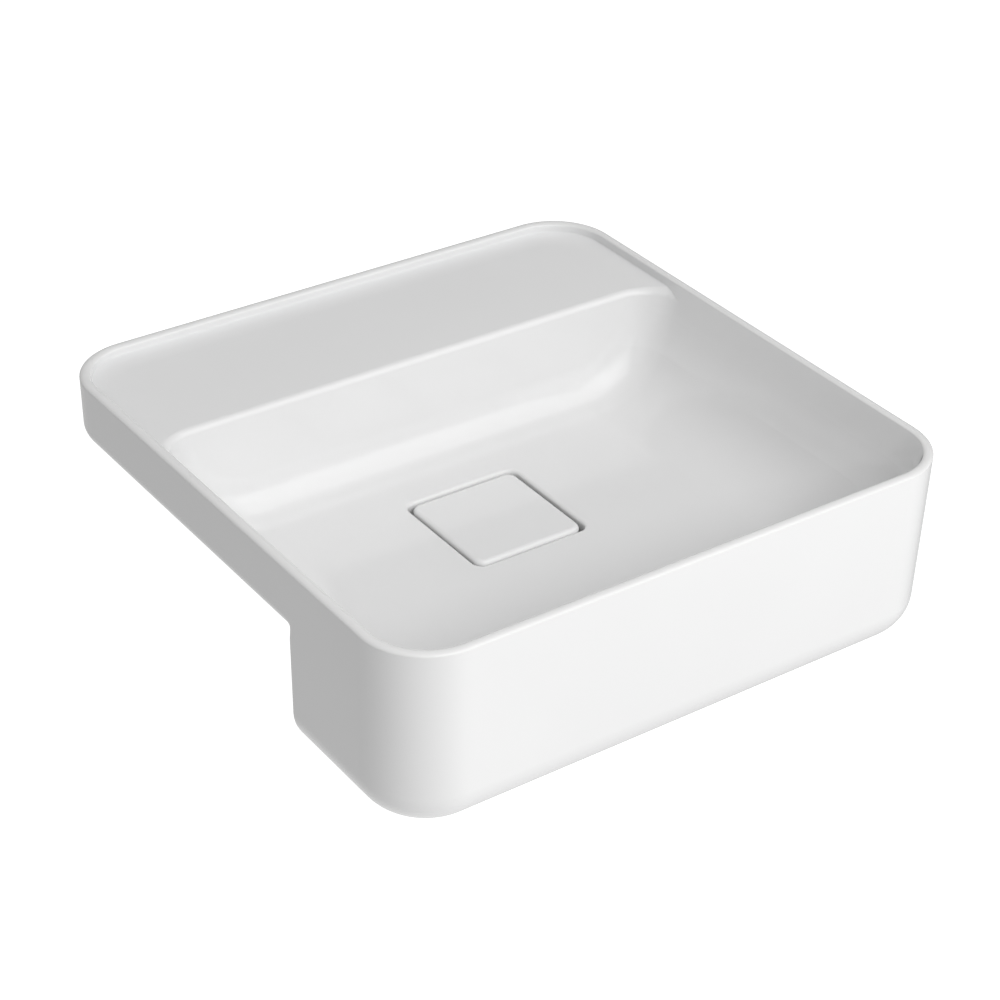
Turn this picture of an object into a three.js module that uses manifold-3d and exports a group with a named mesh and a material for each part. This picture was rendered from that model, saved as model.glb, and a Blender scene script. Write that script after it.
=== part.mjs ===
// Semi-recessed square washbasin in vitreous china with a sunken rear shelf, a lift-off ceramic drain cover and
// a free-running waste fitting. Millimetres, +Z up, +X to the user's right, -Y towards the user.
// Origin: the flat seat under the rear shelf, on the centre plane, where the basin rests on the countertop.
// Everything below is drawn with the rim top at z = 0 and the drain axis at x = y = 0; the outer group moves it
// into the part's frame.
import * as THREE from "three";
import { mergeVertices } from "three/addons/utils/BufferGeometryUtils.js";
import Module from "manifold-3d";

const wasm = await Module();
wasm.setup();

// ---- driving dimensions -------------------------------------------------------------------------------------
const WIDTH = 420; // over the rim, left to right
const DEPTH = 418; // over the rim, front to back
const HEIGHT = 133; // rim top to the apron's underside
const SLAB_HEIGHT = 46; // rim top to the seat under the shelf: what shows above the countertop
const PLAN_R = 45; // outer corners in plan
const DRAFT = Math.tan((1.1 * Math.PI) / 180); // the outer walls lean in towards the bottom
const RIM_EDGE = 4; // rounding of the rim's outer edge, across
const RIM_EDGE_DOWN = 2.2; // and down: the rim is slightly crowned
const RIM_INNER_EDGE = 1.9; // rounding of its inner edge, across
const RIM_SIDE = 6.7; // width of the rim at the sides, outer face to inner face
const RIM_FRONT = 5.9;
const RIM_BACK = 7.4;
const RIM_CORNER_R = 38.5; // its inner corners in plan
const SLAB_EDGE_R = 11; // rounding under the slab
const APRON_EDGE_R = 28; // rounding under the apron
const STEP_Y = -84.5; // rear face of the apron, which hides the countertop's front edge

const SHELF_Z = -8.4; // sunken shelf behind the bowl
const SHELF_SWEEP = 17; // hollow sweep between the shelf and the rim, across
const SHELF_SWEEP_UP = 3;
const BOWL_BACK_Y = 94; // bowl's rear wall
const BOWL_BACK_R = 27; // fillet between the rear wall and the floor
const BOWL_BACK_CORNER_R = 29; // upright corners of the rear wall
const BOWL_EDGE_R = 4.5; // rounded edge from the shelf into the bowl
const BOWL_LEAN = [
  [25, 0.2],
  [23.5, 0.14],
]; // side and front walls lean in: [over this depth, by this share of it], from the rim down
const BOWL_FRONT_CORNER_R = 38.5;
const BOWL_SIDE_R = 64; // fillet between the side and front walls and the floor
const FLOOR_Z = -83.3;
const SHELL = 8; // thickness of the bowl's wall
const FLOOR_SHELL = 9;

const APRON_WALL = 10; // wall of the hollow apron
const APRON_BACK_R = 3; // upright rear edges of the apron
const APRON_BACK_OPENING = [-140, 140, -119, -90]; // x and z limits of the opening in the apron's rear wall
const POCKET = { x0: 20, x1: 176, y0: 113, y1: 184, top: -20, r: 14 }; // hollows under the shelf, one each side
const SEAT_Y = 150; // seat reference, on the rib between the two hollows

const RECESS = { hx: 43.85, hy: 43.85, r: 7.5, bottom: -99, edge: 2 }; // square recess for the drain cover
const BOSS = { hx: 54, hy: 52, r: 18, bottom: -109 }; // thickening around that recess, under the bowl
const DRAIN_HOLE_R = 23;

const COVER = { hx: 41.35, hy: 41.35, r: 7.5, thick: 7, edge: 3.5 };
const FOOT = { x: 31.5, y: 31.5, r: 4.8, bottom: -96.1 };
const PAD = { r: 4.5, h: 2.3 };

const WASTE_THREAD_R = 20.95; // G 1 1/4 pipe thread, crest radius
const WASTE_BORE_R = 16.5;
const WASTE_END_Z = -170;
const FLANGE_R = 32;
const STRAINER_R = 19.6;
const NUT_BORE_R = 21.3;
const GAP = 0.3; // clearance drawn between two pieces that touch

// ---- helpers ------------------------------------------------------------------------------------------------
const CORNER_STEPS = 7;

// Outline of a rounded rectangle, anticlockwise seen from above, with its own front and back corner radii.
function outline(x0, x1, y0, y1, rFront, rBack = rFront, steps = CORNER_STEPS) {
  const corners = [
    [x1 - rBack, y1 - rBack, rBack, 0],
    [x0 + rBack, y1 - rBack, rBack, Math.PI / 2],
    [x0 + rFront, y0 + rFront, rFront, Math.PI],
    [x1 - rFront, y0 + rFront, rFront, 1.5 * Math.PI],
  ];
  return corners.flatMap(([cx, cy, r, a]) =>
    new THREE.EllipseCurve(cx, cy, r, r, a, a + Math.PI / 2).getPoints(steps),
  );
}

// A closed solid through a stack of outlines with the same number of points: [[z, points], ...], lowest first.
function loft(levels) {
  const n = levels[0][1].length;
  const position = levels.flatMap(([z, points]) =>
    points.flatMap((p) => [p.x, p.y, z]),
  );
  const index = [];
  for (let i = 0; i + 1 < levels.length; i++)
    for (let j = 0; j < n; j++) {
      const a = i * n + j,
        b = i * n + ((j + 1) % n);
      index.push(a, b, b + n, a, b + n, a + n);
    }
  const top = (levels.length - 1) * n;
  for (const [a, b, c] of THREE.ShapeUtils.triangulateShape(levels[0][1], []))
    index.push(a, c, b);
  for (const [a, b, c] of THREE.ShapeUtils.triangulateShape(
    levels.at(-1)[1],
    [],
  ))
    index.push(top + a, top + b, top + c);
  const g = new THREE.BufferGeometry();
  g.setAttribute("position", new THREE.Float32BufferAttribute(position, 3));
  g.setIndex(index);
  return g;
}

// A body of revolution about Z: profile of [r, z] points, closed on itself unless it ends on the axis.
function turned(profile, segments = 40) {
  const points = profile.map(([r, z]) => new THREE.Vector2(r, z));
  const onAxis = profile[0][0] === 0 && profile.at(-1)[0] === 0;
  if (!onAxis) points.push(points[0].clone());
  return new THREE.LatheGeometry(points, segments).rotateX(Math.PI / 2);
}

function box(x0, x1, y0, y1, z0, z1) {
  return new THREE.BoxGeometry(x1 - x0, y1 - y0, z1 - z0).translate(
    (x0 + x1) / 2,
    (y0 + y1) / 2,
    (z0 + z1) / 2,
  );
}

function cylinder(x, y, z0, z1, r0, r1 = r0, segments = 24) {
  return new THREE.CylinderGeometry(r1, r0, z1 - z0, segments)
    .rotateX(Math.PI / 2)
    .translate(x, y, (z0 + z1) / 2);
}

function solid(geometry) {
  const g = geometry.clone();
  g.deleteAttribute("normal");
  g.deleteAttribute("uv");
  const merged = mergeVertices(g, 1e-4);
  const vertProperties = Float32Array.from(merged.attributes.position.array);
  const triVerts = Uint32Array.from(merged.index.array);
  const build = () =>
    new wasm.Manifold(new wasm.Mesh({ numProp: 3, vertProperties, triVerts }));
  let made = build();
  if (made.volume() < 0) {
    for (let i = 0; i < triVerts.length; i += 3)
      [triVerts[i + 1], triVerts[i + 2]] = [triVerts[i + 2], triVerts[i + 1]];
    made = build();
  }
  return made;
}

function geometryOf(made) {
  const m = made.getMesh();
  const xyz = new Float32Array(m.numVert * 3);
  for (let i = 0; i < m.numVert; i++)
    xyz.set(m.vertProperties.subarray(i * m.numProp, i * m.numProp + 3), i * 3);
  const g = new THREE.BufferGeometry();
  g.setAttribute("position", new THREE.BufferAttribute(xyz, 3));
  g.setIndex(new THREE.BufferAttribute(Uint32Array.from(m.triVerts), 1));
  g.computeVertexNormals();
  return g;
}

const joined = (...gs) => gs.map(solid).reduce((a, b) => a.add(b));

// ---- outer shape of the casting -----------------------------------------------------------------------------
const halfX = WIDTH / 2,
  halfY = DEPTH / 2;

// Plan of the outer wall at height z, drawn in by `inset` at a rounded edge. The rear face stays upright.
function outerPlan(z, inset, backY = halfY, backInset = inset, backR = PLAN_R) {
  const lean = -z * DRAFT;
  return outline(
    -halfX + lean + inset,
    halfX - lean - inset,
    -halfY + lean + inset,
    backY - backInset,
    Math.max(PLAN_R - inset, 4),
    Math.max(backR - backInset, 2),
  );
}

function roundedBottom(zBottom, r, steps, plan) {
  const levels = [];
  for (let i = 0; i < steps; i++) {
    const a = (i / steps) * (Math.PI / 2);
    levels.push([zBottom + r * (1 - Math.cos(a)), plan(r * (1 - Math.sin(a)))]);
  }
  return levels.map(([z, make]) => [z, make(z)]);
}

const slab = loft([
  ...roundedBottom(-SLAB_HEIGHT, SLAB_EDGE_R, 4, (d) => (z) => outerPlan(z, d)),
  [-SLAB_HEIGHT + SLAB_EDGE_R, outerPlan(-SLAB_HEIGHT + SLAB_EDGE_R, 0)],
  [-RIM_EDGE_DOWN, outerPlan(-RIM_EDGE_DOWN, 0)],
  [-RIM_EDGE_DOWN * 0.5, outerPlan(-RIM_EDGE_DOWN * 0.5, RIM_EDGE * 0.134)],
  [-RIM_EDGE_DOWN * 0.134, outerPlan(-RIM_EDGE_DOWN * 0.134, RIM_EDGE * 0.5)],
  [0, outerPlan(0, RIM_EDGE)],
]);

const apron = loft([
  ...roundedBottom(
    -HEIGHT,
    APRON_EDGE_R,
    6,
    (d) => (z) => outerPlan(z, d, STEP_Y, d, APRON_BACK_R + d * 0.4),
  ),
  [
    -HEIGHT + APRON_EDGE_R,
    outerPlan(-HEIGHT + APRON_EDGE_R, 0, STEP_Y, 0, APRON_BACK_R),
  ],
  [-30, outerPlan(-30, 0, STEP_Y, 0, APRON_BACK_R)],
]);

// ---- the bowl, and the same shape grown by a wall thickness --------------------------------------------------
const innerHalf = halfX - RIM_SIDE;

// How far the side and front walls have leaned in at this depth.
function leaned(depth) {
  let left = Math.max(depth, 0),
    sum = 0;
  for (const [over, share] of BOWL_LEAN) {
    sum += Math.min(left, over) * share;
    left = Math.max(left - over, 0);
  }
  return sum;
}

// Limits of the bowl at height z: half width, front, back and the corner radii.
function bowlPlan(z, grow = 0, growDown = grow) {
  const wall = innerHalf - leaned(-z) + grow;
  const sideR = BOWL_SIDE_R + grow,
    backR = BOWL_BACK_R + grow;
  const over = (r) => {
    const up = z - (FLOOR_Z - growDown);
    return up >= r ? 0 : r - Math.sqrt(Math.max(r * r - (r - up) ** 2, 0));
  };
  const inset = over(sideR),
    backInset = over(backR);
  const edge =
    grow === 0 && z > SHELF_Z - BOWL_EDGE_R
      ? BOWL_EDGE_R -
        Math.sqrt(
          Math.max(
            BOWL_EDGE_R ** 2 -
              Math.min(z - SHELF_Z + BOWL_EDGE_R, BOWL_EDGE_R) ** 2,
            0,
          ),
        )
      : 0;
  return outline(
    -wall + inset,
    wall - inset,
    -halfY + RIM_FRONT + leaned(-z) - grow + inset,
    BOWL_BACK_Y + grow - backInset + edge,
    BOWL_FRONT_CORNER_R + grow + inset * 0.5,
    BOWL_BACK_CORNER_R + grow,
  );
}

const bowlHeights = [
  FLOOR_Z,
  FLOOR_Z + 0.5,
  FLOOR_Z + 2,
  FLOOR_Z + 5,
  FLOOR_Z + 9,
  FLOOR_Z + 14,
  FLOOR_Z + 20,
  FLOOR_Z + 27,
  FLOOR_Z + 36,
  FLOOR_Z + 47,
  -24,
];
const bowl = loft([
  ...bowlHeights.map((z) => [z, bowlPlan(z)]),
  [SHELF_Z - BOWL_EDGE_R, bowlPlan(SHELF_Z - BOWL_EDGE_R)],
  [SHELF_Z - BOWL_EDGE_R * 0.5, bowlPlan(SHELF_Z - BOWL_EDGE_R * 0.5)],
  [SHELF_Z - 0.6, bowlPlan(SHELF_Z - 0.6)],
  [SHELF_Z + 0.02, bowlPlan(SHELF_Z)],
  [SHELF_Z + SHELF_SWEEP_UP, bowlPlan(SHELF_Z + SHELF_SWEEP_UP)],
  [-1.5, bowlPlan(-1.5)],
  [0.5, bowlPlan(-1.5)],
]);
const underHeights = [0, 0.6, 2.4, 6, 11, 17, 24, 33, 45, 64].map(
  (up) => FLOOR_Z - FLOOR_SHELL + up,
);
const bowlUnderside = loft(
  underHeights.map((z) => [z, bowlPlan(z, SHELL, FLOOR_SHELL)]),
);

const boss = loft([
  [
    BOSS.bottom,
    outline(
      -BOSS.hx + 4,
      BOSS.hx - 4,
      -BOSS.hy + 4,
      BOSS.hy - 4,
      BOSS.r - 4,
    ),
  ],
  [
    BOSS.bottom + 4,
    outline(-BOSS.hx, BOSS.hx, -BOSS.hy, BOSS.hy, BOSS.r),
  ],
  [FLOOR_Z - 3, outline(-BOSS.hx, BOSS.hx, -BOSS.hy, BOSS.hy, BOSS.r)],
]);

// ---- what is hollowed out ------------------------------------------------------------------------------------
// Inner face of the rim, drawn in by d. The rear face stays upright.
const rimPlan = (d, depth = 0) =>
  outline(
    -innerHalf + leaned(depth) + d,
    innerHalf - leaned(depth) - d,
    -halfY + RIM_FRONT + leaned(depth) + d,
    halfY - RIM_BACK - d,
    RIM_CORNER_R - d * 0.5,
  );
// The sweep is a quarter of an ellipse: [share across, share up].
const sweep = [
  [1, 0],
  [0.6, 0.084],
  [0.32, 0.267],
  [0.12, 0.525],
  [0.03, 0.757],
  [0, 1],
];
const shelfHollow = loft([
  ...sweep.map(([across, up]) => {
    const z = SHELF_Z + up * SHELF_SWEEP_UP;
    return [z, rimPlan(across * SHELF_SWEEP, -z)];
  }),
  [-1.06, rimPlan(0)],
  [-0.31, rimPlan(-RIM_INNER_EDGE * 0.29)],
  [0, rimPlan(-RIM_INNER_EDGE)],
  [0.5, rimPlan(-RIM_INNER_EDGE)],
]);

const recess = loft([
  [
    RECESS.bottom,
    outline(-RECESS.hx, RECESS.hx, -RECESS.hy, RECESS.hy, RECESS.r),
  ],
  [
    FLOOR_Z - RECESS.edge,
    outline(-RECESS.hx, RECESS.hx, -RECESS.hy, RECESS.hy, RECESS.r),
  ],
  [
    FLOOR_Z + 0.3,
    outline(
      -RECESS.hx - RECESS.edge,
      RECESS.hx + RECESS.edge,
      -RECESS.hy - RECESS.edge,
      RECESS.hy + RECESS.edge,
      RECESS.r + RECESS.edge,
    ),
  ],
  [
    FLOOR_Z + 3,
    outline(
      -RECESS.hx - RECESS.edge,
      RECESS.hx + RECESS.edge,
      -RECESS.hy - RECESS.edge,
      RECESS.hy + RECESS.edge,
      RECESS.r + RECESS.edge,
    ),
  ],
]);

const apronHollow = loft(
  [
    [-HEIGHT + APRON_WALL, 18],
    [-HEIGHT + APRON_WALL + 5.3, 5.3],
    [-HEIGHT + APRON_WALL + 18, 0],
    [-60, 0],
  ].map(([z, d]) => [
    z,
    outline(
      -halfX - z * DRAFT + APRON_WALL + d,
      halfX + z * DRAFT - APRON_WALL - d,
      -halfY - z * DRAFT + APRON_WALL + d,
      STEP_Y - APRON_WALL - d,
      PLAN_R - APRON_WALL,
      6,
    ),
  ]),
);

const pocketAt = (side) => {
  const x0 = side > 0 ? POCKET.x0 : -POCKET.x1,
    x1 = side > 0 ? POCKET.x1 : -POCKET.x0;
  return loft([
    [-60, outline(x0, x1, POCKET.y0, POCKET.y1, POCKET.r)],
    [POCKET.top - 3, outline(x0, x1, POCKET.y0, POCKET.y1, POCKET.r)],
    [
      POCKET.top,
      outline(x0 + 3, x1 - 3, POCKET.y0 + 3, POCKET.y1 - 3, POCKET.r - 3),
    ],
  ]);
};

const backOpening = new THREE.ExtrudeGeometry(
  (() => {
    const [x0, x1, z0, z1] = APRON_BACK_OPENING;
    return new THREE.Shape(outline(x0, x1, z0, z1, 8, 8, 4));
  })(),
  { depth: 40, bevelEnabled: false },
)
  .rotateX(Math.PI / 2)
  .translate(0, STEP_Y + 12, 0);

// ---- the casting ---------------------------------------------------------------------------------------------
const underside = solid(bowlUnderside);
const bossSolid = solid(boss);
const basinSolid = solid(slab)
  .add(solid(apron))
  .subtract(solid(apronHollow).subtract(underside))
  .subtract(solid(backOpening).subtract(underside))
  .add(underside)
  .add(bossSolid)
  .subtract(solid(pocketAt(1)))
  .subtract(solid(pocketAt(-1)))
  .subtract(solid(shelfHollow))
  .subtract(solid(bowl))
  .subtract(solid(recess))
  .subtract(solid(cylinder(0, 0, -130, -90, DRAIN_HOLE_R, DRAIN_HOLE_R, 40)));

// ---- drain cover ---------------------------------------------------------------------------------------------
const coverPlan = (d) =>
  outline(
    -COVER.hx + d,
    COVER.hx - d,
    -COVER.hy + d,
    COVER.hy - d,
    COVER.r - d,
    COVER.r - d,
    6,
  );
const coverTop = FLOOR_Z,
  coverUnder = FLOOR_Z - COVER.thick;
const coverPlate = loft([
  [coverUnder, coverPlan(1)],
  [coverUnder + 1, coverPlan(0)],
  [coverTop - COVER.edge, coverPlan(0)],
  [coverTop - COVER.edge * 0.29, coverPlan(COVER.edge * 0.29)],
  [coverTop, coverPlan(COVER.edge)],
]);
const corners = [
  [1, 1],
  [-1, 1],
  [-1, -1],
  [1, -1],
];
const coverSolid = corners.reduce(
  (made, [sx, sy]) =>
    made.add(
      solid(
        cylinder(
          sx * FOOT.x,
          sy * FOOT.y,
          FOOT.bottom,
          coverUnder + 1,
          FOOT.r,
          FOOT.r + 1,
          20,
        ),
      ),
    ),
  solid(coverPlate),
);

// ---- waste fitting -------------------------------------------------------------------------------------------
const gasketTop = RECESS.bottom + GAP + 1.2;
const flangeGasket = turned([
  [24, RECESS.bottom + GAP],
  [31, RECESS.bottom + GAP],
  [31, gasketTop],
  [24, gasketTop],
]);

const flangeUnder = gasketTop + GAP;
const flangeTop = flangeUnder + 2.6;
const strainerSeat = flangeTop - 2;
const wasteTube = turned(
  [
    [WASTE_BORE_R, WASTE_END_Z],
    [WASTE_THREAD_R - 1, WASTE_END_Z],
    [WASTE_THREAD_R, WASTE_END_Z + 1],
    [WASTE_THREAD_R, flangeUnder],
    [FLANGE_R, flangeUnder],
    [FLANGE_R, flangeTop - 1.4],
    [FLANGE_R - 1.2, flangeTop - 0.3],
    [FLANGE_R - 3, flangeTop],
    [STRAINER_R + GAP + 0.6, flangeTop],
    [STRAINER_R + GAP, flangeTop - 0.6],
    [STRAINER_R + GAP, strainerSeat],
    [WASTE_BORE_R + 1, strainerSeat],
    [WASTE_BORE_R, strainerSeat - 1],
  ],
  48,
);
const hubTop = strainerSeat - 4,
  hubBottom = hubTop - 9;
const spider = [0, 1, 2].map((i) =>
  box(3, WASTE_BORE_R + 1.5, -1.5, 1.5, hubBottom + 2, hubTop).rotateZ(
    (i * 2 * Math.PI) / 3 + Math.PI / 2,
  ),
);
const wasteSolid = joined(
  wasteTube,
  ...spider,
  cylinder(0, 0, hubBottom, hubTop, 5, 5, 24),
).subtract(solid(cylinder(0, 0, hubBottom - 1, hubTop + 1, 2.8, 2.8, 24)));

const strainerUnder = strainerSeat + GAP,
  strainerTop = strainerUnder + 1.4;
const grid = [
  [7.6, 6, 2.1],
  [14, 12, 2.1],
];
const strainerSolid = grid.reduce(
  (made, [ringR, count, holeR]) => {
    for (let i = 0; i < count; i++) {
      const a = (i / count) * 2 * Math.PI;
      made = made.subtract(
        solid(
          cylinder(
            ringR * Math.cos(a),
            ringR * Math.sin(a),
            strainerUnder - 1,
            strainerTop + 1,
            holeR,
            holeR,
            12,
          ),
        ),
      );
    }
    return made;
  },
  solid(
    turned([
      [2.9, strainerUnder],
      [STRAINER_R, strainerUnder],
      [STRAINER_R, strainerTop - 0.5],
      [STRAINER_R - 0.5, strainerTop],
      [2.9, strainerTop],
    ]),
  ),
);

const screwSolid = solid(
  turned(
    [
      [0, hubBottom - 1.5],
      [1.9, hubBottom - 1.5],
      [2.4, hubBottom - 1],
      [2.4, strainerTop + GAP],
      [4.6, strainerTop + GAP],
      [4.6, strainerTop + GAP + 0.5],
      [3.4, strainerTop + GAP + 1.5],
      [0, strainerTop + GAP + 1.9],
    ],
    24,
  ),
).subtract(
  solid(
    box(
      -3.4,
      3.4,
      -0.5,
      0.5,
      strainerTop + GAP + 1.2,
      strainerTop + GAP + 3,
    ),
  ),
);

const lowerTop = BOSS.bottom - GAP,
  lowerUnder = lowerTop - 4;
const lowerGasket = turned([
  [NUT_BORE_R, lowerUnder],
  [29, lowerUnder],
  [32, lowerTop - 1],
  [32, lowerTop],
  [NUT_BORE_R + 1.2, lowerTop],
  [NUT_BORE_R, lowerTop - 1.2],
]);
const washerTop = lowerUnder - GAP,
  washerUnder = washerTop - 1.5;
const slipWasher = turned([
  [NUT_BORE_R, washerUnder],
  [31, washerUnder],
  [31, washerTop],
  [NUT_BORE_R, washerTop],
]);

const nutTop = washerUnder - GAP,
  nutUnder = nutTop - 9;
const hexagon = new THREE.Shape(
  [0, 1, 2, 3, 4, 5].map(
    (i) =>
      new THREE.Vector2(
        31 * Math.cos((i * Math.PI) / 3),
        31 * Math.sin((i * Math.PI) / 3),
      ),
  ),
);
const nutSolid = solid(
  new THREE.ExtrudeGeometry(hexagon, { depth: 9, bevelEnabled: false }).translate(
    0,
    0,
    nutUnder,
  ),
)
  .intersect(
    solid(
      turned([
        [0, nutUnder],
        [28, nutUnder],
        [31, nutUnder + 1.8],
        [31, nutTop],
        [0, nutTop],
      ]),
    ),
  )
  .subtract(
    solid(cylinder(0, 0, nutUnder - 1, nutTop + 1, NUT_BORE_R, NUT_BORE_R, 40)),
  );

// ---- scene graph ---------------------------------------------------------------------------------------------
const china = () =>
  new THREE.MeshStandardMaterial({
    color: 0xf4f4f3,
    roughness: 0.12,
    metalness: 0,
  });
const rubber = () =>
  new THREE.MeshStandardMaterial({
    color: 0x26262a,
    roughness: 0.85,
    metalness: 0,
  });

function piece(name, geometry, material) {
  const mesh = new THREE.Mesh(geometry, material);
  mesh.name = name;
  return mesh;
}

const cover = new THREE.Group();
cover.add(
  piece("drain_cover", geometryOf(coverSolid), china()),
  ...corners.map(([sx, sy], i) => {
    const pad = piece(
      `cover_pad_${i + 1}`,
      cylinder(0, 0, 0, PAD.h, PAD.r - 0.5, PAD.r, 20),
      new THREE.MeshStandardMaterial({
        color: 0x8d8f92,
        roughness: 0.7,
        metalness: 0,
      }),
    );
    pad.position.set(sx * FOOT.x, sy * FOOT.y, RECESS.bottom + GAP);
    return pad;
  }),
);

const waste = new THREE.Group();
waste.add(
  piece("flange_gasket", flangeGasket, rubber()),
  piece(
    "waste_body",
    geometryOf(wasteSolid),
    new THREE.MeshStandardMaterial({
      color: 0xc9ccd0,
      roughness: 0.15,
      metalness: 1,
    }),
  ),
  piece(
    "waste_strainer",
    geometryOf(strainerSolid),
    new THREE.MeshStandardMaterial({
      color: 0xc4c6c8,
      roughness: 0.3,
      metalness: 1,
    }),
  ),
  piece(
    "strainer_screw",
    geometryOf(screwSolid),
    new THREE.MeshStandardMaterial({
      color: 0xbfc1c4,
      roughness: 0.35,
      metalness: 1,
    }),
  ),
  piece("lower_gasket", lowerGasket, rubber()),
  piece(
    "slip_washer",
    slipWasher,
    new THREE.MeshStandardMaterial({
      color: 0xdedbd0,
      roughness: 0.6,
      metalness: 0,
    }),
  ),
  piece(
    "backnut",
    geometryOf(nutSolid),
    new THREE.MeshStandardMaterial({
      color: 0xb9994e,
      roughness: 0.35,
      metalness: 1,
    }),
  ),
);

const washbasin = new THREE.Group();
washbasin.position.set(0, -SEAT_Y, SLAB_HEIGHT);
washbasin.add(piece("basin", geometryOf(basinSolid), china()), cover, waste);

export default washbasin;
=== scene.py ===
import math

import bmesh
import bpy
import numpy as np
from mathutils import Matrix, Vector


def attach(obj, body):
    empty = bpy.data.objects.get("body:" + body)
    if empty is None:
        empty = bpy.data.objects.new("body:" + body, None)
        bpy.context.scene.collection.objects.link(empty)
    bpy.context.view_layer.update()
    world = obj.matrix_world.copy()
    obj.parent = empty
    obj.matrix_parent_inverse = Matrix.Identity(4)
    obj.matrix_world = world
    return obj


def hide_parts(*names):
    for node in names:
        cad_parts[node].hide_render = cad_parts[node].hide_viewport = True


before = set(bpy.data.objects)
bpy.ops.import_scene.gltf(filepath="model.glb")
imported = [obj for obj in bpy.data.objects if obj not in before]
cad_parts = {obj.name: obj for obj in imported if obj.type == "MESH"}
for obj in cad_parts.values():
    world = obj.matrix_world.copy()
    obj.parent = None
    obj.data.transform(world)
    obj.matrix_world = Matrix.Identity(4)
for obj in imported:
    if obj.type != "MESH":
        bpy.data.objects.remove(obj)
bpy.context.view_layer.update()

# Semi-recessed square washbasin. Shapes below are written in millimetres with the rim top at z = 0 and the drain axis
# at x = y = 0, and place() moves them into the part's frame.
ORIGIN = np.array([0.0, -150.0, 46.0])


def place(points):
    return (np.asarray(points, float) + ORIGIN) * 0.001


# ---- fields: negative inside, rounded where two surfaces meet --------------------------------------------------


def rmax(a, b, r):
    """Intersection of two fields, with the convex edge rounded to radius r."""
    return np.minimum(np.maximum(a, b), -r) + np.hypot(
        np.maximum(a + r, 0), np.maximum(b + r, 0)
    )


def rmin(a, b, r):
    return -rmax(-a, -b, r)


def smooth(t):
    t = np.clip(t, 0, 1)
    return t * t * (3 - 2 * t)


def square(x, y, ax, y0, y1, r):
    """Distance to a rectangle with rounded corners, |x| < ax and y0 < y < y1."""
    qx = np.abs(x) - ax + r
    qy = np.where(y > (y0 + y1) / 2, y - y1, y0 - y) + r
    return np.minimum(np.maximum(qx, qy), 0) + np.hypot(np.maximum(qx, 0), np.maximum(qy, 0)) - r


# ---- the casting ----------------------------------------------------------------------------------------------
HALF_X, HALF_Y, HEIGHT, SLAB = 210.0, 209.0, 133.0, 46.0
PLAN_R, DRAFT = 45.0, math.tan(math.radians(1.1))
RIM_R, RIM_IN_R, IN_X, IN_Y, IN_BACK = 4.0, 1.9, 203.3, 203.1, 201.6
CROWN = 1.8  # the rim's edges are this much wider than they are deep
SLAB_R, APRON_R, APRON_EDGE_R, STEP_Y, STEP_R = 11.0, 28.0, 2.5, -84.5, 4.0
SHELF_Z, SWEEP, SWEEP_H = -8.4, 17.0, 3.0
BACK_Y, BACK_R, EDGE_R = 94.0, 28.0, 4.5
SIDE_R, FLOOR_Z = 64.0, -83.3
SHELL, FLOOR_SHELL = 8.0, 9.0
RECESS_HALF, RECESS_R, RECESS_EDGE, RECESS_Z, BOSS_Z, HOLE_R = 43.85, 7.5, 2.6, -99.0, -109.0, 23.0


def wall_half(z):
    """Half width of the bowl at height z."""
    d = np.clip(-z, 0, 60)
    return IN_X - 0.20 * np.clip(d, 0, 25) - 0.14 * np.clip(d - 25, 0, 23.5)


def bowl(x, y, z):
    w = wall_half(z)
    corner = 38.5 + 52 * smooth((-z - 14) / 60)
    walls = rmax(np.abs(x) - w, -y - (w - IN_X + IN_Y), corner)
    c = rmax(walls, FLOOR_Z - z, SIDE_R)
    back = y - (BACK_Y - 0.02 * (-z - 8))
    return rmax(c, back, BACK_R), walls, back


def casting(x, y, z):
    lean = -z * DRAFT
    out = square(x, y, HALF_X - lean, -HALF_Y + lean, HALF_Y, PLAN_R)
    step = rmin(-SLAB - z, y - STEP_Y, STEP_R)
    # the slab's lower edge is well rounded, and the apron's upright rear edges are tight
    to_rear = smooth(0.5 + ((-SLAB - z) - (y - STEP_Y)) / 12.0)
    body = rmax(out, step, SLAB_R + (APRON_EDGE_R - SLAB_R) * to_rear)
    body = rmax(body, -HEIGHT - z, APRON_R)
    c2, walls, back = bowl(x, y, z)
    w = wall_half(z)
    inner = square(x, y, w, -w + IN_X - IN_Y, IN_BACK + 0 * z, 38.5)
    swept = rmax(inner * (SWEEP_H / SWEEP), SHELF_Z - z, SWEEP_H)
    shelf = np.maximum(inner, swept)
    edge = rmin(swept, rmax(walls, back, BACK_R), EDGE_R)
    edge = np.maximum(np.maximum(edge, inner), -18 - z)
    cavity = np.minimum(np.minimum(c2, shelf), edge)
    t = smooth((-z - 60) / 25)
    shell = np.maximum(c2 - (SHELL + (FLOOR_SHELL - SHELL) * t), z + 41)
    solid = rmin(body, shell, 3.0)
    under = -(c2 - SHELL)
    hollow = rmax(rmax(body + 10, under, 8.0), z + 40, 6.0)
    opening = rmax(rmax(np.abs(x) - 140, np.abs(z + 99) - 20, 8.0), np.abs(y - STEP_Y) - 22, 1.0)
    hollow = np.minimum(hollow, np.maximum(opening, under))
    solid = rmax(solid, -hollow, 2.0)
    boss = rmax(rmax(square(x, y, 54, -52, 52, 18.0), BOSS_Z - z, 4.0), z + 80, 1.0)
    solid = rmin(solid, boss, 5.0)
    pockets = rmax(square(np.abs(x) - 98, y, 78, 113, 184, 14.0), z + 20, 5.0)
    solid = rmax(solid, -pockets, 2.0)
    solid = rmax(solid, z * CROWN, RIM_R)
    solid = rmax(solid, -cavity, RIM_IN_R + 1.5 * smooth((y - 150) / 45))
    recess = rmax(square(x, y, RECESS_HALF, -RECESS_HALF, RECESS_HALF, RECESS_R), RECESS_Z - z, 1.5)
    solid = rmax(solid, -recess, RECESS_EDGE)
    return rmax(solid, HOLE_R - np.hypot(x, y), 0.8)


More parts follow.
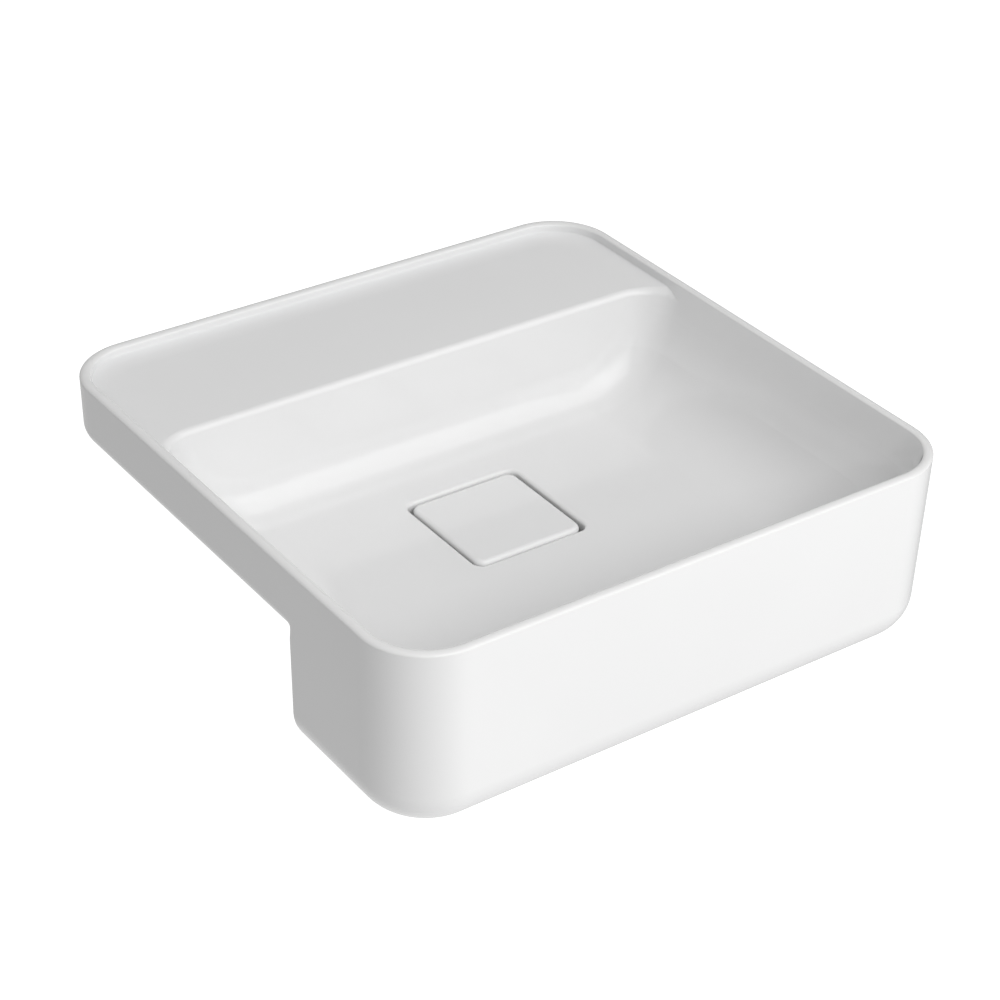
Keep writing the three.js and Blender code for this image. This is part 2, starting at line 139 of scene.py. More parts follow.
# ---- the drain cover, its feet and pads -----------------------------------------------------------------------
COVER_X, COVER_Y, COVER_R, COVER_EDGE = 41.35, 41.35, 7.5, 3.5
COVER_UNDER, FOOT_AT, FOOT_END = -90.3, 31.5, -96.1


def cover(x, y, z):
    plan = square(x, y, COVER_X, -COVER_Y, COVER_Y, COVER_R)
    plate = rmax(rmax(plan, z - FLOOR_Z, COVER_EDGE), COVER_UNDER - z, 1.2)
    dish = rmax(square(x, y, 33.5, -33.5, 33.5, 5.0), z - COVER_UNDER - 0.9, 0.8)
    plate = rmax(plate, -dish, 0.6)
    r = np.hypot(np.abs(x) - FOOT_AT, np.abs(y) - FOOT_AT)
    foot = (r - 4.8 - np.clip(z - FOOT_END, 0, 5) * 0.2) * 0.98
    foot = rmax(foot, np.maximum(FOOT_END - z, z + 86.8), 0.7)
    return rmin(plate, foot, 1.4)


# ---- the waste fitting ----------------------------------------------------------------------------------------
PITCH, CREST_R, ROOT_R, BORE_R, END_Z = 2.309, 20.95, 19.55, 16.5, -170.0
FLANGE_Z0, FLANGE_Z1, FLANGE_R, SEAT_Z = -97.2, -94.6, 32.0, -96.6
STRAINER_R, HUB_Z0, HUB_Z1 = 19.6, -109.6, -100.6


def thread_radius(x, y, z):
    """Radius of the pipe thread, a rounded 55 degree vee that runs out below the flange and at the lower end."""
    phase = z / PITCH - np.arctan2(y, x) / (2 * np.pi)
    wave = np.abs((phase % 1.0) - 0.5) * 2  # 0 at the root, 1 at the crest
    wave = smooth(np.clip((wave - 0.10) / 0.80, 0, 1)) * 0.5 + np.clip((wave - 0.10) / 0.80, 0, 1) * 0.5
    fade = smooth((-104.5 - z) / 3.0) * smooth((z + 169.5) / 2.5)
    return CREST_R - (CREST_R - ROOT_R) * (1 - wave) * fade - 0.5 * smooth((-168.0 - z) / 2.0)


def waste(x, y, z):
    r = np.hypot(x, y)
    tube = (r - thread_radius(x, y, z)) * 0.72
    tube = np.maximum(np.maximum(tube, END_Z - z), z - FLANGE_Z1)
    flange = rmax(rmax(r - FLANGE_R, z - FLANGE_Z1 + 0.035 * np.clip(r - 20, 0, 12), 1.2), FLANGE_Z0 - z, 0.4)
    solid = rmin(tube, flange, 1.0)
    bore = rmax(BORE_R - r, 0 * r - 50, 0.1)
    solid = rmax(solid, bore, 0.8)
    seat = rmax(r - STRAINER_R - 0.3, SEAT_Z - z, 0.3)
    solid = rmax(solid, -seat, 0.4)
    angle = (np.arctan2(y, x) - np.pi / 2) % (2 * np.pi / 3)
    angle = np.minimum(angle, 2 * np.pi / 3 - angle)
    across, along = r * np.sin(angle), r * np.cos(angle)
    arm = rmax(np.abs(across) - 1.5, np.abs(z + 104.1) - 3.5, 0.9)
    arm = np.maximum(np.maximum(arm, along - BORE_R - 1.5), -along)
    hub = rmax(r - 5.0, np.abs(z - (HUB_Z0 + HUB_Z1) / 2) - 4.5, 0.8)
    solid = rmin(solid, rmin(arm, hub, 1.6), 1.4)
    return rmax(solid, -np.maximum(r - 2.8, np.abs(z + 105) - 8), 0.4)


def strainer(x, y, z):
    r = np.hypot(x, y)
    crown = 0.55 * (1 - (np.clip(r, 0, STRAINER_R) / STRAINER_R) ** 2)
    plate = rmax(rmax(r - STRAINER_R, z + 95.25 - crown * 0.65, 0.5), -96.3 - z, 0.3)
    for ring, count, hole in ((7.6, 6, 2.1), (14.0, 12, 2.1)):
        a = np.arctan2(y, x) % (2 * np.pi / count)
        a = np.minimum(a, 2 * np.pi / count - a)
        d = np.hypot(r * np.cos(a) - ring, r * np.sin(a))
        plate = rmax(plate, hole - d, 0.3)
    return rmax(plate, 2.9 - r, 0.3)


def screw(x, y, z):
    r = np.hypot(x, y)
    phase = z / 0.8 - np.arctan2(y, x) / (2 * np.pi)
    wave = np.abs((phase % 1.0) - 0.5) * 2
    shank_r = 2.4 - 0.42 * (1 - wave) * smooth((-98.0 - z) / 1.5)
    shank = np.maximum((r - shank_r) * 0.7, np.maximum(-111.1 - z, z + 94.0))
    shank = np.maximum(shank, (r - 1.2 - (z + 111.1)) * 0.7)
    head = rmax(np.sqrt(r * r + (z + 98.2) ** 2) - 5.45, -94.6 - z, 0.15)
    head = rmax(head, r - 4.55, 0.3)
    solid = np.minimum(shank, head)
    slot = rmax(np.abs(y) - 0.5, -93.8 - z, 0.05)
    return rmax(solid, -slot, 0.12)


def backnut(x, y, z):
    r = np.hypot(x, y)
    a = np.abs((np.arctan2(y, x) + np.pi / 6) % (np.pi / 3) - np.pi / 6)
    hexagon = r * np.cos(a - np.pi / 6) - 31 * math.cos(math.pi / 6)
    solid = rmax(rmax(hexagon, z + 115.4, 0.5), -124.4 - z, 0.5)
    solid = rmax(solid, (r - 28.2 - (z + 124.4) * 1.55) * 0.54, 0.3)
    solid = rmax(solid, (r - 29.8 - (-115.4 - z) * 1.55) * 0.54, 0.3)
    bore = (thread_radius(x, y, z) + 0.14 - r) * 0.72
    lead = (21.9 - np.minimum(z + 124.4, -115.4 - z) - r) * 0.7
    return np.maximum(solid, np.maximum(bore, lead))


def ring(r0, r1, z0, z1, edge, taper=0.0):
    def field(x, y, z):
        r = np.hypot(x, y)
        outer = r - r1 + taper * np.clip(z1 - 1 - z, 0, 9)
        return rmax(rmax(outer, np.maximum(z - z1, z0 - z), edge), r0 - r, edge)

    return field


def lower_seal(x, y, z):
    r = np.hypot(x, y)
    outer = rmax(r - 32.0, (r - 29.0 - (z + 113.6)) * 0.75, 0.8)
    solid = rmax(rmax(outer, z + 109.0, 0.3), -113.6 - z, 0.3)
    solid = rmax(solid, (21.0 - r), 0.2)
    groove = rmax(np.abs(r - 26.6) - 0.7, -109.9 - z, 0.3)
    return rmax(solid, -groove, 0.2)


def pad(cx, cy):
    def field(x, y, z):
        r = np.hypot(x - cx, y - cy)
        outer = r - 4.5 + 0.22 * np.clip(-96.4 - z, 0, 3)
        solid = rmax(rmax(outer, z + 96.1, 0.25), -98.98 - z, 0.6)
        dimple = np.sqrt(r * r + (z + 103.2) ** 2) - 4.75
        return rmax(solid, -dimple, 0.2)

    return field


# ---- meshing --------------------------------------------------------------------------------------------------


def lines(*stretches):
    """Grid lines for [(start, end, step), ...], end to end."""
    out = []
    for a, b, s in stretches:
        out.append(np.linspace(a, b, max(1, int(round((b - a) / s))) + 1)[:-1])
    return np.concatenate(out + [[stretches[-1][1]]])


def both(*stretches):
    """The same stretches on both sides of 0."""
    return lines(*[(-b, -a, s) for a, b, s in stretches[::-1]], *stretches)


def surface_nets(field, X, Y, Z):
    F = np.empty((len(X), len(Y), len(Z)), np.float32)
    for i in range(0, len(X), 24):
        x, y, z = np.meshgrid(X[i : i + 24], Y, Z, indexing="ij")
        F[i : i + 24] = field(x, y, z)
    S = F < 0
    n = F.shape
    c = [
        S[i : n[0] - 1 + i, j : n[1] - 1 + j, k : n[2] - 1 + k]
        for i in (0, 1)
        for j in (0, 1)
        for k in (0, 1)
    ]
    active = np.logical_or.reduce(c) & ~np.logical_and.reduce(c)
    base = np.stack(np.nonzero(active), 1)
    index = -np.ones(active.shape, np.int64)
    index[active] = np.arange(len(base))
    total, count, G = np.zeros((len(base), 3)), np.zeros(len(base)), (X, Y, Z)
    for ax in range(3):
        o1, o2 = [a for a in range(3) if a != ax]
        for u in (0, 1):
            for v in (0, 1):
                a = base.copy()
                a[:, o1] += u
                a[:, o2] += v
                b = a.copy()
                b[:, ax] += 1
                fa, fb = F[tuple(a.T)].astype(float), F[tuple(b.T)].astype(float)
                k = (fa < 0) != (fb < 0)
                t = np.where(k, fa / np.where(k, fa - fb, 1), 0)
                p = np.stack([G[d][a[:, d]] for d in range(3)], 1)
                p[:, ax] += t * (G[ax][b[:, ax]] - G[ax][a[:, ax]])
                total[k] += p[k]
                count[k] += 1
    quads = []
    for ax in range(3):
        o1, o2 = [(1, 2), (2, 0), (0, 1)][ax]
        low, high = [slice(None)] * 3, [slice(None)] * 3
        low[ax], high[ax] = slice(0, -1), slice(1, None)
        e = np.stack(np.nonzero(S[tuple(low)] != S[tuple(high)]), 1)

        def cell(d1, d2):
            q = e.copy()
            q[:, o1] += d1
            q[:, o2] += d2
            return index[tuple(q.T)]

        q = np.stack([cell(-1, -1), cell(0, -1), cell(0, 0), cell(-1, 0)], 1)
        flip = ~S[tuple(e.T)]
        q[flip] = q[flip][:, ::-1]
        quads.append(q)
    return total / count[:, None], np.concatenate(quads)


def gradient(field, P, h=0.02):
    g = np.empty_like(P)
    for a in range(3):
        d = np.zeros(3)
        d[a] = h
        A, B = P + d, P - d
        g[:, a] = (field(*A.T) - field(*B.T)) / (2 * h)
    return g


def settle(field, P, rounds=3, most=0.8):
    """Moves points onto the surface."""
    for _ in range(rounds):
        g = gradient(field, P)
        step = -(field(*P.T) / np.maximum((g * g).sum(1), 1e-3))[:, None] * g
        size = np.linalg.norm(step, axis=1, keepdims=True)
        P = P + step * np.minimum(1, most / np.maximum(size, 1e-9))
    return P


def mesh_object(name, points, faces, normals=None):
    mesh = bpy.data.meshes.new(name)
    k = faces.shape[1]
    mesh.vertices.add(len(points))
    mesh.vertices.foreach_set("co", np.asarray(points, np.float32).ravel())
    mesh.loops.add(faces.size)
    mesh.loops.foreach_set("vertex_index", faces.astype(np.int32).ravel())
    mesh.polygons.add(len(faces))
    mesh.polygons.foreach_set("loop_start", np.arange(0, faces.size, k, dtype=np.int32))
    mesh.polygons.foreach_set("use_smooth", np.ones(len(faces), bool))
    mesh.update(calc_edges=True)
    mesh.validate()
    obj = bpy.data.objects.new(name, mesh)
    bpy.context.scene.collection.objects.link(obj)
    return obj


def thinned(obj, triangles):
    """Collapses edges where the surface is flat, down to about this many triangles."""
    now = sum(len(p.vertices) - 2 for p in obj.data.polygons)
    if now <= triangles:
        return
    m = obj.modifiers.new("thin", "DECIMATE")
    m.ratio = triangles / now
    m.use_collapse_triangulate = True
    dg = bpy.context.evaluated_depsgraph_get()
    made = bpy.data.meshes.new_from_object(obj.evaluated_get(dg), depsgraph=dg)
    obj.modifiers.clear()
    old, obj.data = obj.data, made
    bpy.data.meshes.remove(old)


def welded(mesh, reach=0.003):
    """Joins vertices that have come to lie on each other, and drops the folded pairs of faces that leaves."""
    b = bmesh.new()
    b.from_mesh(mesh)
    for _ in range(3):
        bmesh.ops.remove_doubles(b, verts=b.verts, dist=reach)
        b.verts.index_update()
        b.faces.index_update()
        seen, folded = {}, set()
        for f in b.faces:
            key = tuple(sorted(v.index for v in f.verts))
            if key in seen:
                folded.update((f, seen[key]))
            seen[key] = f
        if not folded:
            break
        bmesh.ops.delete(b, geom=sorted(folded, key=lambda f: f.index), context="FACES")
    b.to_mesh(mesh)
    b.free()


def formed(name, field, X, Y, Z, triangles, curvature=False):
    """A closed mesh of the field's surface, with its exact normals."""
    P, Q = surface_nets(field, X, Y, Z)
    P = settle(field, P)
    obj = mesh_object(name, P, Q)
    thinned(obj, triangles)
    mesh = obj.data
    P = np.empty(len(mesh.vertices) * 3, np.float32)
    mesh.vertices.foreach_get("co", P)
    P = settle(field, P.reshape(-1, 3).astype(float), 2, 0.3)
    mesh.vertices.foreach_set("co", P.astype(np.float32).ravel())
    welded(mesh)
    P = np.empty(len(mesh.vertices) * 3, np.float32)
    mesh.vertices.foreach_get("co", P)
    P = P.reshape(-1, 3).astype(float)
    g = gradient(field, P)
    g /= np.maximum(np.linalg.norm(g, axis=1, keepdims=True), 1e-9)
    if curvature:
        h = 1.6
        bend = np.zeros(len(P))
        for a in range(3):
            d = np.zeros(3)
            d[a] = h
            bend += field(*(P + d).T) + field(*(P - d).T)
        bend = (bend - 6 * field(*P.T)) / (h * h)
        layer = mesh.attributes.new("bend", "FLOAT", "POINT")
        layer.data.foreach_set("value", np.clip(bend, -1, 1).astype(np.float32))
    mesh.vertices.foreach_set("co", place(P).astype(np.float32).ravel())
    mesh.polygons.foreach_set("use_smooth", np.ones(len(mesh.polygons), bool))
    mesh.update()
    mesh.normals_split_custom_set_from_vertices([tuple(v) for v in g.astype(float)])
    return obj


# ---- materials ------------------------------------------------------------------------------------------------


class Material:
    """A small builder for a Principled material's nodes, in object coordinates (metres)."""

    def __init__(self, name, **sockets):
        self.mat = bpy.data.materials.new(name)
        self.mat.use_nodes = True
        self.tree = self.mat.node_tree
        self.tree.nodes.clear()
        self.out = self.tree.nodes.new("ShaderNodeOutputMaterial")
        self.bsdf = self.tree.nodes.new("ShaderNodeBsdfPrincipled")
        self.link(self.bsdf.outputs[0], self.out.inputs[0])
        self.coord = self.tree.nodes.new("ShaderNodeTexCoord").outputs["Object"]
        self.place = self.tree.nodes.new("ShaderNodeSeparateXYZ")
        self.link(self.coord, self.place.inputs[0])
        for k, v in sockets.items():
            self.bsdf.inputs[k.replace("_", " ")].default_value = v

    def link(self, a, b):
        self.tree.links.new(a, b)

    def noise(self, scale, detail=2.0, rough=0.5, distortion=0.0, vector=None):
        n = self.tree.nodes.new("ShaderNodeTexNoise")
        n.inputs["Scale"].default_value = scale
        n.inputs["Detail"].default_value = detail
        n.inputs["Roughness"].default_value = rough
        n.inputs["Distortion"].default_value = distortion
        self.link(vector or self.coord, n.inputs["Vector"])
        return n.outputs["Fac"]

    def speckle(self, scale, vector=None):
        n = self.tree.nodes.new("ShaderNodeTexVoronoi")
        n.inputs["Scale"].default_value = scale
        self.link(vector or self.coord, n.inputs["Vector"])
        return n.outputs["Distance"]

    def stretched(self, x, y, z):
        n = self.tree.nodes.new("ShaderNodeMapping")
        n.inputs["Scale"].default_value = (x, y, z)
        self.link(self.coord, n.inputs["Vector"])
        return n.outputs[0]

    def span(self, value, a, b, to_a=0.0, to_b=1.0, soft=False):
        n = self.tree.nodes.new("ShaderNodeMapRange")
        n.interpolation_type = "SMOOTHSTEP" if soft else "LINEAR"
        self.link(value, n.inputs["Value"])
        n.inputs["From Min"].default_value = a
        n.inputs["From Max"].default_value = b
        n.inputs["To Min"].default_value = to_a
        n.inputs["To Max"].default_value = to_b
        return n.outputs[0]

    def math(self, kind, a, b=0.0):
        n = self.tree.nodes.new("ShaderNodeMath")
        n.operation = kind
        for i, v in enumerate((a, b)):
            if isinstance(v, (int, float)):
                n.inputs[i].default_value = v
            else:
                self.link(v, n.inputs[i])
        return n.outputs[0]

    def blend(self, fac, a, b):
        n = self.tree.nodes.new("ShaderNodeMix")
        n.data_type = "RGBA"
        self.link(fac, n.inputs["Factor"])
        for socket, v in ((n.inputs[6], a), (n.inputs[7], b)):
            if isinstance(v, tuple):
                socket.default_value = (*v, 1.0)
            else:
                self.link(v, socket)
        return n.outputs[2]

    def bump(self, height, distance, strength=1.0, below=None):
        n = self.tree.nodes.new("ShaderNodeBump")
        n.inputs["Strength"].default_value = strength
        n.inputs["Distance"].default_value = distance
        self.link(height, n.inputs["Height"])
        if below is not None:
            self.link(below, n.inputs["Normal"])
        return n.outputs[0]

    def attribute(self, name):
        n = self.tree.nodes.new("ShaderNodeAttribute")
        n.attribute_name = name
        return n.outputs["Fac"]

    def facing_down(self):
        g = self.tree.nodes.new("ShaderNodeNewGeometry")
        s = self.tree.nodes.new("ShaderNodeSeparateXYZ")
        self.link(g.outputs["Normal"], s.inputs[0])
        return s.outputs[2]

    def colour(self, v):
        self.link(v, self.bsdf.inputs["Base Color"])

    def roughness(self, v):
        self.link(v, self.bsdf.inputs["Roughness"])

    def normal(self, v):
        self.link(v, self.bsdf.inputs["Normal"])
        return self.mat


GLAZE = (0.800, 0.800, 0.800)


def china(name, bare_z, bend=True):
    """White glaze over vitreous china, left bare underneath below bare_z (millimetres, rim top at 0)."""
    m = Material(name, Coat_Weight=0.55, Coat_Roughness=0.04, Coat_IOR=1.5, IOR=1.5)
    tone = m.noise(7.0, 3.0, 0.5)
    glaze = m.blend(
        m.span(tone, 0.35, 0.65, soft=True),
        tuple(c * 0.992 for c in GLAZE),
        tuple(min(c * 1.008, 1) for c in GLAZE),
    )
    pin = m.speckle(210.0)
    pin = m.math("MULTIPLY", m.span(pin, 0.035, 0.06, 1.0, 0.0), m.span(m.noise(60.0), 0.66, 0.72))
    glaze = m.blend(m.math("MULTIPLY", pin, 0.10), glaze, (0.56, 0.55, 0.53))
    if bend:
        thin = m.span(m.attribute("bend"), 0.12, 0.45, 0.0, 0.35, soft=True)
        glaze = m.blend(thin, glaze, (0.790, 0.786, 0.776))
        pooled = m.span(m.attribute("bend"), -0.02, -0.30, 0.0, 0.35, soft=True)
        glaze = m.blend(pooled, glaze, (0.785, 0.792, 0.797))
    grain = m.noise(900.0, 3.0, 0.7)
    bisque = m.blend(m.span(grain, 0.3, 0.7), (0.655, 0.635, 0.60), (0.745, 0.73, 0.70))
    ragged = m.span(m.noise(55.0, 3.0), 0.3, 0.7, -0.0011, 0.0011)
    height = m.math("ADD", m.place.outputs[2], ragged)
    z = (bare_z + ORIGIN[2]) * 0.001
    low = m.span(height, z + 0.0004, z - 0.0004, soft=True)
    down = m.span(m.facing_down(), -0.72, -0.86, soft=True)
    bare = m.math("MULTIPLY", low, down)
    m.colour(m.blend(bare, glaze, bisque))
    worn = m.span(m.noise(26.0, 4.0, 0.6), 0.3, 0.75, 0.115, 0.155)
    rough = m.tree.nodes.new("ShaderNodeMix")
    m.link(bare, rough.inputs["Factor"])
    m.link(worn, rough.inputs[2])
    rough.inputs[3].default_value = 0.8
    m.roughness(rough.outputs[0])
    wave = m.bump(m.noise(9.0, 1.0, 0.4), 0.0010, 0.55)
    peel = m.bump(m.noise(330.0, 2.0, 0.5), 0.000012, 0.6, wave)
    sand = m.tree.nodes.new("ShaderNodeMath")
    sand.operation = "MULTIPLY"
    m.link(grain, sand.inputs[0])
    m.link(bare, sand.inputs[1])
    return m.normal(m.bump(sand.outputs[0], 0.00022, 0.8, peel))


def metal(name, colour, tint, rough, streak=(40.0, 40.0, 900.0), depth=0.00001, **more):
    m = Material(name, Metallic=1.0, **more)
    brushed = m.noise(1.0, 3.0, 0.6, vector=m.stretched(*streak))
    cloud = m.noise(45.0, 4.0, 0.6)
    m.colour(m.blend(m.span(cloud, 0.35, 0.7, soft=True), colour, tint))
    m.roughness(m.math("ADD", m.span(brushed, 0.3, 0.7, rough[0], rough[1]), m.span(cloud, 0.4, 0.8, 0.0, 0.05)))
    return m.normal(m.bump(brushed, depth, 0.5))


def rubber(name, light, dark):
    m = Material(name, IOR=1.5)
    cloud, grain = m.noise(70.0, 4.0, 0.6), m.noise(1500.0, 2.0, 0.7)
    bloom = m.math("MULTIPLY", m.span(cloud, 0.4, 0.75, soft=True), m.span(grain, 0.2, 0.8, 0.55, 1.0))
    m.colour(m.blend(bloom, dark, light))
    m.roughness(m.span(grain, 0.3, 0.7, 0.62, 0.85))
    return m.normal(m.bump(grain, 0.00005, 0.7))


def plastic(name, light, dark):
    m = Material(name, IOR=1.5, Subsurface_Weight=0.08)
    cloud, grain = m.noise(50.0, 3.0, 0.5), m.noise(1100.0, 2.0, 0.6)
    m.colour(m.blend(m.span(cloud, 0.35, 0.7, soft=True), dark, light))
    m.roughness(m.span(grain, 0.3, 0.7, 0.38, 0.52))
    return m.normal(m.bump(grain, 0.00003, 0.5))


M = {
    "basin": china("glazed_china", -45.2),
    "cover": china("glazed_china_cover", -89.9, bend=False),
    "chrome": metal("waste_chrome", (0.86, 0.87, 0.88), (0.80, 0.81, 0.83), (0.05, 0.12), (30.0, 30.0, 160.0)),
    "steel": metal("strainer_steel", (0.66, 0.665, 0.67), (0.60, 0.605, 0.61), (0.22, 0.36), (700.0, 25.0, 60.0), 0.00002),
    "screw": metal("screw_steel", (0.62, 0.62, 0.63), (0.52, 0.52, 0.53), (0.25, 0.42), (300.0, 300.0, 300.0), 0.00002),
    "brass": metal("nut_brass", (0.72, 0.52, 0.24), (0.60, 0.42, 0.19), (0.24, 0.40), (60.0, 60.0, 700.0), 0.00002),
    "seal": rubber("seal_rubber", (0.060, 0.060, 0.063), (0.018, 0.018, 0.020)),
    "pad": rubber("pad_rubber", (0.34, 0.35, 0.36), (0.24, 0.245, 0.25)),
    "nylon": plastic("washer_plastic", (0.78, 0.76, 0.69), (0.72, 0.69, 0.61)),
}


def finish(obj, material, body, slot, *nodes):
    obj.data.materials.clear()
    obj.data.materials.append(M[material])
    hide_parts(*nodes)
    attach(obj, body)
    return obj


# ---- pieces ---------------------------------------------------------------------------------------------------
q = 1.0
finish(
    formed(
        "washbasin",
        casting,
        both((0, 23.6, 1.9 * q), (23.6, 40.4, 3.6), (40.4, 48.4, 0.7), (48.4, 56.4, 1.4), (56.4, 120, 5.3), (120, 184, 2.6 * q), (184, 196.2, 1.3 * q), (196.2, 201, 0.8 * q), (201, 211.8, 0.55 * q)),
        lines((-211, -194.8, 0.8 * q), (-194.8, -184, 1.3 * q), (-184, -98, 2.6 * q), (-98, -74, 1.2), (-74, -56, 3), (-56, -48.6, 1.4), (-48.6, -40.4, 0.7), (-40.4, -24, 3.2), (-24, 24, 1.9), (24, 40.4, 3.2), (40.4, 48.6, 0.7), (48.6, 60, 1.8), (60, 88, 2.4 * q), (88, 104, 0.9 * q), (104, 120, 1.3), (120, 176, 3.5), (176, 190, 1.2 * q), (190, 211, 0.8 * q)),
        lines((-135.4, -103, 1.7 * q), (-103, -80, 0.8), (-80, -52, 1.9 * q), (-52, -33, 1.1 * q), (-33, -16, 1.4 * q), (-16, -7.2, 0.5 * q), (-7.2, -2.7, 0.45 * q), (-2.7, 0.9, 0.3 * q)),
        190000,
        curvature=True,
    ),
    "basin", "basin", "glazed_china", "basin",
)
finish(
    formed("drain_cover_glazed", cover, both((0, 26, 2.0), (26, 36.8, 0.8), (36.8, 42.4, 0.4)), both((0, 26, 2.0), (26, 36.8, 0.8), (36.8, 42.4, 0.4)), lines((-97, -89.2, 0.4), (-89.2, -87.2, 0.5), (-87.2, -82.7, 0.3)), 40000),
    "cover", "cover", "cover_china", "drain_cover",
)
for i, (sx, sy) in enumerate(((1, 1), (-1, 1), (-1, -1), (1, -1))):
    cx, cy = sx * FOOT_AT, sy * FOOT_AT
    finish(
        formed(f"foot_pad_{i + 1}", pad(cx, cy), cx + both((0, 5, 0.4)), cy + both((0, 5, 0.4)), lines((-99.4, -95.8, 0.25)), 2500),
        "pad", "cover", "pad_rubber", f"cover_pad_{i + 1}",
    )
finish(
    formed("waste_fitting", waste, both((0, 22.4, 0.8), (22.4, 33, 1.0)), both((0, 22.4, 0.8), (22.4, 33, 1.0)), lines((-171, -99, 0.33), (-99, -94.2, 0.3)), 90000),
    "chrome", "basin", "waste_chrome", "waste_body",
)
finish(
    formed("strainer_disc", strainer, both((0, 20.4, 0.4)), both((0, 20.4, 0.4)), lines((-96.7, -94.4, 0.2)), 24000),
    "steel", "basin", "strainer_steel", "waste_strainer",
)
finish(
    formed("centre_screw", screw, both((0, 5, 0.25)), both((0, 5, 0.25)), lines((-111.5, -95, 0.2), (-95, -92.4, 0.15)), 12000),
    "screw", "basin", "screw_steel", "strainer_screw",
)
finish(
    formed("flange_seal", ring(23.6, 31.2, -98.98, -97.22, 0.5), both((0, 23, 2.0), (23, 32, 0.8)), both((0, 23, 2.0), (23, 32, 0.8)), lines((-99.4, -96.9, 0.25)), 6000),
    "seal", "basin", "seal_rubber", "flange_gasket",
)
finish(
    formed("under_seal", lower_seal, both((0, 20, 1.6), (20, 33, 0.6)), both((0, 20, 1.6), (20, 33, 0.6)), lines((-114, -108.6, 0.3)), 12000),
    "seal", "basin", "seal_rubber", "lower_gasket",
)
finish(
    formed("nylon_washer", ring(21.15, 31.0, -115.38, -113.62, 0.35), both((0, 20, 1.6), (20, 32, 0.7)), both((0, 20, 1.6), (20, 32, 0.7)), lines((-115.8, -113.2, 0.2)), 8000),
    "nylon", "basin", "washer_plastic", "slip_washer",
)
finish(
    formed("brass_backnut", backnut, both((0, 19, 1.8), (19, 31.8, 0.5)), both((0, 19, 1.8), (19, 31.8, 0.5)), lines((-124.9, -114.9, 0.32)), 40000),
    "brass", "basin", "nut_brass", "backnut",
)

# ---- stage, light and camera ----------------------------------------------------------------------------------
floor = mesh_object(
    "studio_floor",
    np.array([[30 * math.cos(a), 30 * math.sin(a), -0.95] for a in np.linspace(0, 2 * math.pi, 65)[:-1]]),
    np.arange(64)[None, :],
)
paper = bpy.data.materials.new("studio_floor")
paper.use_nodes = True
t = paper.node_tree
t.nodes.clear()
out = t.nodes.new("ShaderNodeOutputMaterial")
glow, matt, add = t.nodes.new("ShaderNodeEmission"), t.nodes.new("ShaderNodeBsdfDiffuse"), t.nodes.new("ShaderNodeAddShader")
glow.inputs["Color"].default_value = (1, 1, 1, 1)
glow.inputs["Strength"].default_value = 0.9
matt.inputs["Color"].default_value = (0.35, 0.35, 0.35, 1)
t.links.new(glow.outputs[0], add.inputs[0])
t.links.new(matt.outputs[0], add.inputs[1])
clear, mix, geo = t.nodes.new("ShaderNodeBsdfTransparent"), t.nodes.new("ShaderNodeMixShader"), t.nodes.new("ShaderNodeNewGeometry")
t.links.new(geo.outputs["Backfacing"], mix.inputs[0])
t.links.new(add.outputs[0], mix.inputs[1])
t.links.new(clear.outputs[0], mix.inputs[2])
t.links.new(mix.outputs[0], out.inputs[0])
floor.data.materials.append(paper)
floor.visible_diffuse = False
floor.visible_glossy = False
floor.visible_shadow = False

# The room: an even dome with broad soft swells, given by azimuth, elevation, tightness and strength.
SWELLS = ((0, 40, 8, 0.37), (45, -10, 5, 0.855), (0, -90, 2, 0.704), (180, 30, 3, 0.233))
world = bpy.data.worlds.new("studio")
bpy.context.scene.world = world
world.use_nodes = True
w = world.node_tree
dome = w.nodes["Background"]
dome.inputs["Color"].default_value = (1, 1, 1, 1)
facing = w.nodes.new("ShaderNodeTexCoord").outputs["Generated"]
total = None
for azimuth, elevation, tightness, strength in SWELLS:
    a, e = math.radians(azimuth), math.radians(elevation)
    dot = w.nodes.new("ShaderNodeVectorMath")
    dot.operation = "DOT_PRODUCT"
    w.links.new(facing, dot.inputs[0])
    dot.inputs[1].default_value = (math.sin(a) * math.cos(e), -math.cos(a) * math.cos(e), math.sin(e))
    steps = [w.nodes.new("ShaderNodeMath") for _ in range(3)]
    for node, operation, second in zip(steps, ("MAXIMUM", "POWER", "MULTIPLY_ADD"), (0.0, tightness, strength)):
        node.operation = operation
        node.inputs[1].default_value = second
    w.links.new(dot.outputs["Value"], steps[0].inputs[0])
    w.links.new(steps[0].outputs[0], steps[1].inputs[0])
    w.links.new(steps[1].outputs[0], steps[2].inputs[0])
    if total is None:
        steps[2].inputs[2].default_value = 0.350
    else:
        w.links.new(total, steps[2].inputs[2])
    total = steps[2].outputs[0]
w.links.new(total, dome.inputs["Strength"])

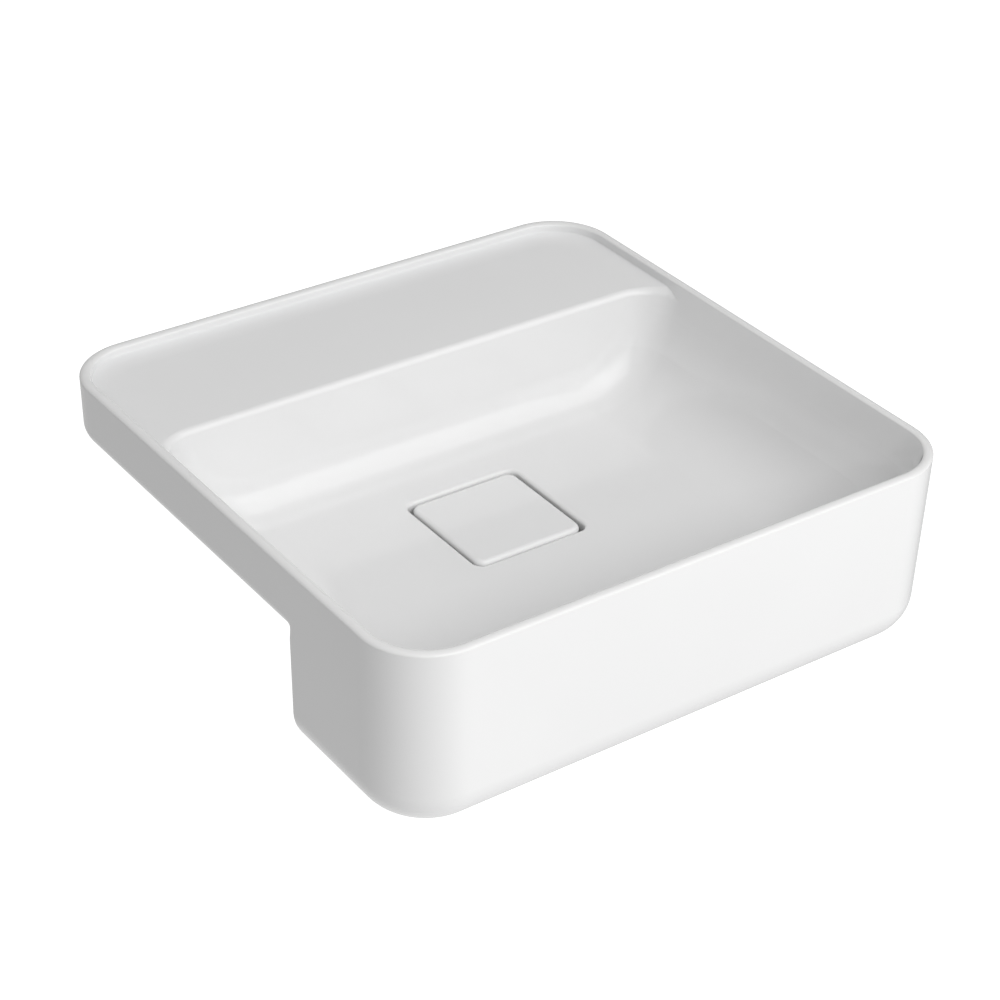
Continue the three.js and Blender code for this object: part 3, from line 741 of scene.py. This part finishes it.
CENTRE = Vector(place([0.0, 0.0, -40.0]))


def softbox(name, azimuth, elevation, distance, width, height, radiance):
    """An area light that faces the basin. Its power follows from its radiance and its size."""
    light = bpy.data.lights.new(name, "AREA")
    light.shape = "RECTANGLE"
    light.size, light.size_y = width, height
    light.energy = radiance * width * height * math.pi
    obj = bpy.data.objects.new(name, light)
    bpy.context.scene.collection.objects.link(obj)
    a, e = math.radians(azimuth), math.radians(elevation)
    away = Vector((math.sin(a) * math.cos(e), -math.cos(a) * math.cos(e), math.sin(e)))
    obj.location = CENTRE + away * distance
    obj.rotation_mode = "QUATERNION"
    obj.rotation_quaternion = away.to_track_quat("Z", "Y")
    return obj


key = softbox("key", 0.0, 42.0, 3.0, 1.9, 1.5, 6.35)
key.visible_glossy = False  # what the glaze mirrors is the broad sheet of light around it
sheen = softbox("sheen", 8.0, 45.0, 3.0, 4.4, 3.0, 0.8)
sheen.visible_diffuse = False

# Camera: position and aim in the basin's own frame.
AZ, EL, ROLL = (math.radians(v) for v in (-35.6047191, 32.2885576, 1.35696904))
FOCAL, DISTANCE, SIDE, RISE = 2585.77606, 1661.18893, 0.9902039, -59.7975192
back = np.array([math.sin(AZ) * math.cos(EL), -math.cos(AZ) * math.cos(EL), math.sin(EL)])
ahead = -back
right = np.cross(ahead, [0, 0, 1.0])
right /= np.linalg.norm(right)
up = np.cross(right, ahead)
c, s = math.cos(ROLL), math.sin(ROLL)
right, up = c * right + s * up, -s * right + c * up
eye = place(back * DISTANCE + right * SIDE + up * RISE)
camera = bpy.data.objects.new("camera", bpy.data.cameras.new("camera"))
bpy.context.scene.collection.objects.link(camera)
camera.data.sensor_width = 36.0
camera.data.lens = FOCAL * 36.0 / 1000.0
camera.data.clip_start, camera.data.clip_end = 0.05, 200.0
m = Matrix.Identity(4)
for i in range(3):
    m[i][0], m[i][1], m[i][2], m[i][3] = right[i], up[i], back[i], eye[i]
camera.matrix_world = m
bpy.context.scene.camera = camera
bpy.context.scene.view_settings.view_transform = "Standard"
